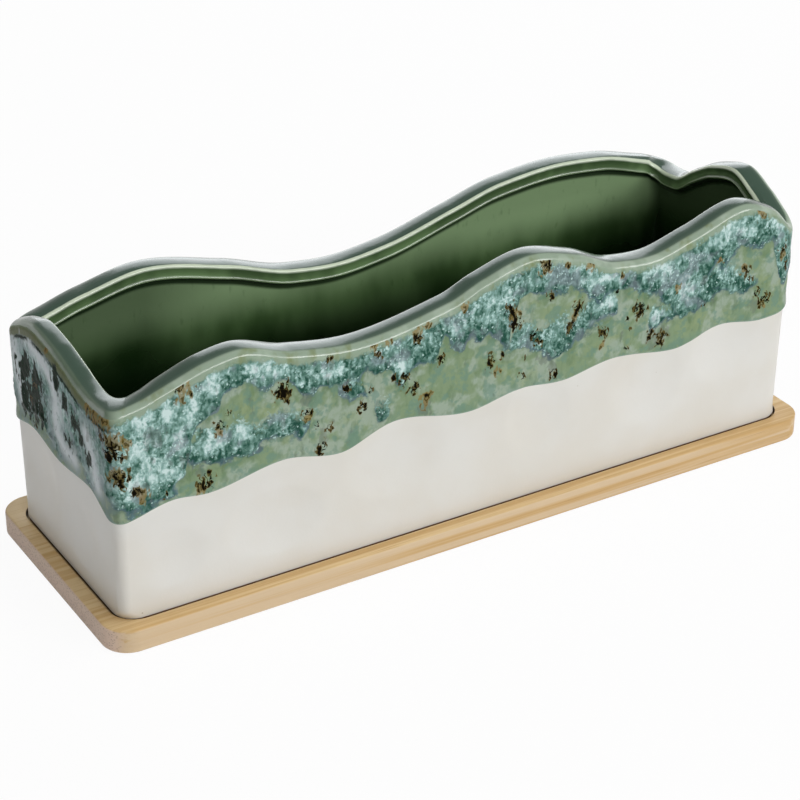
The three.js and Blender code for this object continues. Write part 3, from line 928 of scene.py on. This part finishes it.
def bandNoises(paint):  # noises and mesh values that the coats of the outer glaze share
    place = onPiece(paint)
    swirl = cloud(place, 3, out="Color")
    sway = {"operation": "MULTIPLY_ADD"}
    bent = paint.node("VectorMath", sway, {0: swirl, 1: (2.4, 2.4, 2.4), 2: place})
    medium = cloud(bent, 4.5, 2)
    fine = cloud(bent, 1.3, 2, 0.5)
    ragged = 5 * (fine - 0.5)
    below = field(paint, "belowRim")
    marks = {name: field(paint, name) for name in ("dark", "rust", "grey", "green", "side", "thick")}
    return SimpleNamespace(
        **marks, place=place, bent=bent, medium=medium, fine=fine, ragged=ragged, below=below,
        above=field(paint, "aboveEdge"),
        pale=field(paint, "palePatch"),
        upper=field(paint, "upperRun") + 0.7 * ragged + 1.5,
        lower=field(paint, "lowerFoot") + 0.7 * ragged + 1.5,
        head=field(paint, "lowerHead") + 2 * ragged + 1.5,
        start=below + 0.7 * ragged + 5 * (medium - 0.5),  # the runs begin near the rim, unevenly
        broad=cloud(place, 14, 2),
        grain=0.5 + (fine - 0.5) * (0.45 + 0.75 * ease(cloud(place, 8, 1), 0.4, 0.6)),
        column=cloud(stretched(bent, 1, 1, 0.4), 4, 2, 0.5),
        hair=cloud(stretched(bent, 1, 1, 0.5), 1.7, 2, 0.5),
        blotch=cloud(stretched(bent, 1, 1, 0.5), 1.5, 1.5, 0.5) - 0.5,
        drawn=ease(cloud(place, 10, 1), 0.38, 0.56),  # where the slate line shows
    )


def groundCoats(at):  # celadon and olive between the runs
    look = bandLook
    mottled = ease(at.broad + 0.5 * (at.medium - 0.5), 0.42, 0.58)
    coats = Coats(look, tint(mottled, look["pool"], look["olive"]))
    lime = ease(cloud(at.place, 11, 2) + 0.4 * (at.medium - 0.5), 0.54, 0.7)
    coats.over(lime * 0.5, "lime")
    coats.over(ease(at.hair, 0.48, 0.72) * 0.25, "moss")
    coats.over(ease(at.column, 0.55, 0.72) * 0.45, "moss")
    haze = ease(cloud(at.place, 6, 2) + 0.5 * (at.medium - 0.5), 0.5, 0.6)
    nearEdge = 1 - ease(at.above, 1, 8)
    haze = most(haze, nearEdge * 0.7) * ease(at.medium + 0.6 * (at.fine - 0.5), 0.42, 0.6)
    coats.over(haze * 0.55, "sea")
    return coats


def curtain(height, at):  # colour of a run by the height above its lower edge
    look = bandLook
    share = 0.2 + 0.22 * ease(height, 1.5, 9) + 0.5 * at.pale
    share = share + 1.5 * (at.hair - 0.5) + 1.3 * (at.grain - 0.5) + 1.1 * (at.medium - 0.5)
    tones = ("deep", "teal", "sea", "aqua", "ice", "white")
    stops = [(step / 5, look[tone]) for step, tone in enumerate(tones)]
    colour = share.node("ValToRGB", {"stops": stops}, {0: share})
    line = (1 - ease(height, 0.6, 2)) * (0.25 + 0.75 * at.drawn)
    return tint(line * 0.85, colour, look["slate"])


def runCoats(coats, at):  # the two curtains of runs and the dots along their feet
    beneath = most(ease(at.upper, -7, 0), ease(at.lower, -6, 0) * ease(at.head, -1, 2.5))
    coats.over(beneath * ease(at.column + 0.5 * at.medium, 0.6, 0.9) * 0.5, "moss")
    inLower = ease(at.lower, -1, 1) * ease(at.head, -2, 3)
    coats.over(inLower, curtain(at.lower, at))
    inUpper = ease(at.upper, -1, 1) * ease(at.start, 3, 5.4)
    coats.over(inUpper, curtain(at.upper, at))
    inRun = most(inLower, inUpper)
    cool = ease(cloud(at.place, 9, 2) + 0.4 * (at.medium - 0.5), 0.54, 0.68)
    coats.over(cool * inRun * 0.55, "lilac")
    foot = 1 - ease(least(magnitude(at.upper - 3), magnitude(at.lower - 3)), 1, 3.5)
    dots, chance = cells(at.bent, 1.15), cellChance(at.bent, 1.15)
    # pale crystal specks and painted glints along the runs' feet
    glint = (1 - ease(dots, 0.22, 0.4)) * ease(chance - 0.3 * foot, 0.4, 0.6)
    glint = glint * inRun * most(foot, ease(at.medium, 0.4, 0.55))
    coats.over(glint * (0.8 - 0.5 * at.side), "dot")
    # grey-blue over the left wall: painted milky reflection
    coats.over(at.side * ease(at.medium, 0.35, 0.6) * 0.6, "steel")
    # painted reflection along the heavy runs
    coats.over(at.thick * ease(at.hair, 0.22, 0.44) * 0.95, "veil")
    return inRun, glint


def edgeCoats(coats, at):  # thin glaze at the rim, and the rolled lower edge
    coats.over(1 - ease(at.start, 2.6, 5), thinRim(at.place))
    depth = at.below + 0.4 * at.ragged
    gold = at.side * ease(at.below, 1.5, 3.5) * (1 - ease(depth, 5.6, 6.8))
    coats.over(gold * ease(at.column, 0.15, 0.4) * 0.9, "gold")
    seam = at.side * ease(depth, 5.6, 6.6) * (1 - ease(depth, 7, 8.4))
    coats.over(seam * ease(at.broad, 0.36, 0.5), "pine")
    coats.over((1 - ease(at.above, 0.3, 1.4)) * 0.5, "edge")


def ironAndReflectionCoats(coats, at):  # grey stains, dark green patches (on the left wall a painted dark reflection), and brown and black marks
    column, blotch, dark, rust = at.column, at.blotch, at.dark, at.rust
    stain = ease(at.grey + 2.6 * (column - 0.5) + 1.6 * blotch, 0.5, 0.8)
    coats.over(stain * 0.35, "mauve")
    # dark green patches: on the left wall a painted dark reflection
    shade = ease(at.green + 2.4 * (column - 0.5) + 1.5 * blotch, 0.3, 0.6) * ease(at.green, 0.06, 0.2)
    coats.over(shade, "pine")
    within = ease(most(dark, rust), 0.12, 0.3)
    halo = ease(most(rust, dark * 0.7) + 2.4 * blotch, 0.44, 0.6) * within
    coats.over(halo * 0.65, "ochre")
    mark = most(dark, rust * 0.75) * 0.9 + 3.2 * blotch
    brown = ease(mark, 0.64, 0.78) * within
    coats.over(brown * 0.8, "brown")
    wavy = cloud(at.bent, 2.2, 1.5) - 0.5
    stroke = 1 - ease(magnitude(wavy), 0.02, 0.045)
    stroke = stroke * ease(dark + 0.8 * blotch, 0.42, 0.62)
    black = most(ease(mark, 0.92, 1.08) * within, stroke)
    coats.over(black, "black")
    return black


def bandPaint():
    material, paint = newPaint("reactiveGlaze")
    at = bandNoises(paint)
    coats = groundCoats(at)
    inRun, glint = runCoats(coats, at)
    edgeCoats(coats, at)
    black = ironAndReflectionCoats(coats, at)
    rough = bandLook["rough"] + 0.1 * at.fine + 0.08 * inRun * at.column
    height = 0.9 * at.column * inRun + 0.6 * glint + 0.5 * at.medium
    height = height + 0.5 * at.fine * inRun - 0.3 * black
    sockets = {"Base Color": coats.colour, "Roughness": rough, "IOR": bandLook["bend"]}
    surface(paint, sockets, height * ease(at.below, 5, 8), 0.32, 0.0005)
    return material


for made, node, slot, paint in (
    (makeClay(), "clay_body", "clay", clayPaint()),
    (makeLiner(), "liner_glaze", "liner_glaze", linerPaint()),
    (makeBand(), "reactive_glaze_band", "reactive_glaze", bandPaint()),
):
    made.data.materials.append(paint)
    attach(made, "pot")
    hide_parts(node)
    print(made.name, len(made.data.polygons), "faces")


# Tray

tray = dict(
    corner=11, ease=0.9, recess=2, clearance=0.8, mouthRound=0.3, step=4, cornerSteps=22, sharp=40,
    tones=(0.5, 0.85, 0.5, 0.7, 1.0),  # of the strips, from front to back; 1 is pale
)
# gap is a dark brown, laid on as painted shade in the recess
bambooLook = dict(
    light=rgb(226, 199, 152), tan=rgb(203, 165, 108), fibre=rgb(172, 128, 72), blush=rgb(216, 192, 160),
    end=rgb(224, 198, 178), dot=rgb(156, 128, 104), gap=rgb(48, 30, 16), rough=0.55,
)


def trayBoard(length, width, thick):  # the whole tray, before it is cut into strips
    line = walkOutline(length, width, (tray["corner"],) * 4, tray["step"], tray["cornerSteps"])
    soft, mouth = tray["ease"], tray["mouthRound"]
    mouthEdge = (pot["length"] - length) / 2 + tray["clearance"]  # the recess, from the tray's edge
    nook = pot["footCorner"] + tray["clearance"]

    def loop(outward, radius, z):
        x, y = moveOutline(line, outward, radius)
        return np.stack([x, y, np.full_like(x, z)], -1)

    def outer(inset, z):
        return loop(-inset, tray["corner"] - inset, z)

    def inner(inset, z):
        return loop(mouthEdge - inset, nook - inset, z)

    rows = [outer(soft * (1 - math.sin(a)), soft * (1 - math.cos(a))) for a in arc(6, 0, 90)]
    rows += [outer(soft * (1 - math.cos(a)), thick - soft * (1 - math.sin(a))) for a in arc(6, 0, 90)]
    rows += [inner(-mouth, thick), inner(-mouth * 0.3, thick - mouth * 0.3), inner(0, thick - mouth)]
    rows += [inner(inset, thick - tray["recess"]) for inset in (0, 2)]
    skin = Skin()
    index = skin.ring(np.array(rows))
    skin.join(index, line, 2, 0, 0.6)
    skin.cap([index[0]], False, 0.62, 0.8)
    skin.cap([index[-1]], True, 0.82, 0.98)
    sunken = np.zeros(index.shape)
    sunken[-3:-1] = 1  # painted shade round the edge of the recess
    return skin.build("trayBoard", {"sunken": sunken}, tray["sharp"])


def cutStrip(board, strip, front, width):  # one strip of the board, counted from the front
    count = len(tray["tones"])
    cut = bmesh.new()
    cut.from_mesh(board.data)
    for glueLine, side in ((strip, -1), (strip + 1, 1)):
        if 0 < glueLine < count:
            spot = Vector((0, (front + width * glueLine / count) * mm, 0))
            geometry = cut.verts[:] + cut.edges[:] + cut.faces[:]
            bmesh.ops.bisect_plane(cut, geom=geometry, dist=1e-7, plane_co=spot,
                                   plane_no=Vector((0, side, 0)), clear_outer=True)
            edges = [e for e in cut.edges if e.is_boundary]
            bmesh.ops.holes_fill(cut, edges=edges, sides=0)
    bmesh.ops.triangulate(cut, faces=[f for f in cut.faces if len(f.verts) > 4])
    bmesh.ops.recalc_face_normals(cut, faces=cut.faces[:])
    name = f"trayStrip{strip + 1}"
    mesh = bpy.data.meshes.new(name)
    cut.to_mesh(mesh)
    cut.free()
    mesh.uv_layers.remove(mesh.uv_layers[0])
    shade = np.full(len(mesh.vertices), tray["tones"][strip], np.float32)
    mesh.attributes.new("tone", "FLOAT", "POINT").data.foreach_set("value", shade)
    mesh.set_sharp_from_angle(angle=math.radians(tray["sharp"]))
    piece = bpy.data.objects.new(name, mesh)
    scene.collection.objects.link(piece)
    return piece


def makeTray():
    low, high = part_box("tray_strip_1")[0] / mm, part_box("tray_strip_5")[1] / mm
    width = high.y - low.y
    board = trayBoard(high.x - low.x, width, high.z)
    pieces = [cutStrip(board, strip, low.y, width) for strip in range(len(tray["tones"]))]
    bpy.data.objects.remove(board)
    return pieces


def bambooPaint():
    material, paint = newPaint("bamboo")
    look = bambooLook
    place = onPiece(paint)
    tone = field(paint, "tone")
    shifted = paint.node("CombineXYZ", {}, {"X": tone * 400, "Y": tone * 90})
    place = paint.node("VectorMath", {"operation": "ADD"}, {0: place, 1: shifted})
    long = cloud(stretched(place, 0.012, 1, 1), 2.6, 3)
    fibre = cloud(stretched(place, 0.02, 1, 1), 0.55, 3, 0.6)
    coats = Coats(look, tint(ease(long + 0.5 * (tone - 0.5), 0.3, 0.72), look["tan"], look["light"]))
    coats.over(ease(fibre, 0.56, 0.74) * 0.5, "fibre")
    facing = paint.node("TexCoord", out="Normal")
    front = ease(magnitude(axis(facing, "Y")), 0.5, 0.9)
    coats.over(front * ease(long, 0.36, 0.56) * 0.75, "blush")
    end = ease(magnitude(axis(facing, "X")), 0.45, 0.85)
    dots = cells(stretched(place, 0.1, 1, 1), 0.9)
    ends = tint((1 - ease(dots, 0.18, 0.42)) * 0.6, look["end"], look["dot"])
    coats.over(end, ends)
    # painted shade in the recess
    coats.over(ease(field(paint, "sunken"), 0.3, 0.9) * 0.9, "gap")
    rough = look["rough"] + 0.2 * (fibre - 0.5)
    surface(paint, {"Base Color": coats.colour, "Roughness": rough}, fibre, 0.3, 0.0002)
    return material


bamboo = bambooPaint()
for number, strip in enumerate(makeTray(), 1):
    strip.data.materials.append(bamboo)
    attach(strip, "tray")
    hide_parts(f"tray_strip_{number}")
print("tray made")


# Studio

studio = dict(
    floorSize=6, floor=rgb(248, 248, 248), shadow=0.06,
    ambient=0.11, shown=1.0, ceiling=0.25,
    key=dict(at=(0.6, -2.1, 1.25), size=(3, 0.55), power=38.5, gloss=True),
    top=dict(at=(0.35, -0.25, 1.75), size=(0.6, 0.25), power=8, gloss=False),
    fill=dict(at=(-0.55, 0.1, 1.75), size=(0.5, 0.5), power=4, gloss=False, colour=(1, 0.96, 0.9)),
    back=dict(at=(0.77, 1.29, 0.61), size=(1.2, 1.16), power=9, gloss=True, colour=(0.92, 0.96, 1)),
    side=dict(at=(-0.9, 1.5, 0.45), size=(0.9, 0.6), power=0.8, gloss=True),
)


def shownRays(paint):  # 1 for rays that the camera, gloss or glass sends
    rays = [paint.node("LightPath", out=f"Is {kind} Ray")
            for kind in ("Camera", "Glossy", "Transmission")]
    return least(rays[0] + rays[1] + rays[2], 1)


def makeFloor():
    half = studio["floorSize"] / 2
    mesh = bpy.data.meshes.new("floor")
    corners = [(-half, -half, 0), (half, -half, 0), (half, half, 0), (-half, half, 0)]
    mesh.from_pydata(corners, [], [(0, 1, 2, 3)])
    floor = bpy.data.objects.new("floor", mesh)
    scene.collection.objects.link(floor)
    material, paint = newPaint("floor")
    matte = paint.node("BsdfDiffuse", {}, {"Color": studio["floor"]})
    glow = paint.node("Emission", {}, {"Color": (1, 1, 1, 1), "Strength": 1})
    share = shownRays(paint) * (1 - studio["shadow"])
    mixed = paint.node("MixShader", {}, {0: share, 1: matte, 2: glow})
    paint.node("OutputMaterial", {}, {"Surface": mixed})
    mesh.materials.append(material)


def makeWorld():
    world = bpy.data.worlds.new("studioAir")
    world.use_nodes = True
    world.node_tree.nodes.clear()
    scene.world = world
    air = Wire(world.node_tree)
    direction = air.node("TexCoord", out="Generated")
    fall = ease(axis(direction, "Z"), 0.15, 0.5)
    strength = (1 - fall) * (studio["shown"] - studio["ceiling"]) + studio["ceiling"]
    white = (1, 1, 1, 1)
    plain = air.node("Background", {}, {"Color": white, "Strength": studio["ambient"]})
    shown = air.node("Background", {}, {"Color": white, "Strength": strength})
    mixed = air.node("MixShader", {}, {0: shownRays(air), 1: plain, 2: shown})
    air.node("OutputWorld", {}, {"Surface": mixed})


def makeLamp(name, at, size, power, gloss, colour=(1, 1, 1)):
    data = bpy.data.lights.new(name, "AREA")
    data.shape = "RECTANGLE"
    data.size, data.size_y = size
    data.energy = power
    data.color = colour
    lamp = bpy.data.objects.new(name, data)
    aim = Vector((0, 0, 0.06)) - Vector(at)
    lamp.matrix_world = Matrix.Translation(at) @ aim.to_track_quat("-Z", "Y").to_matrix().to_4x4()
    lamp.visible_glossy = gloss
    scene.collection.objects.link(lamp)


makeFloor()
makeWorld()
for name in ("key", "top", "fill", "back", "side"):
    makeLamp(f"{name}Lamp", **studio[name])
print("studio set")
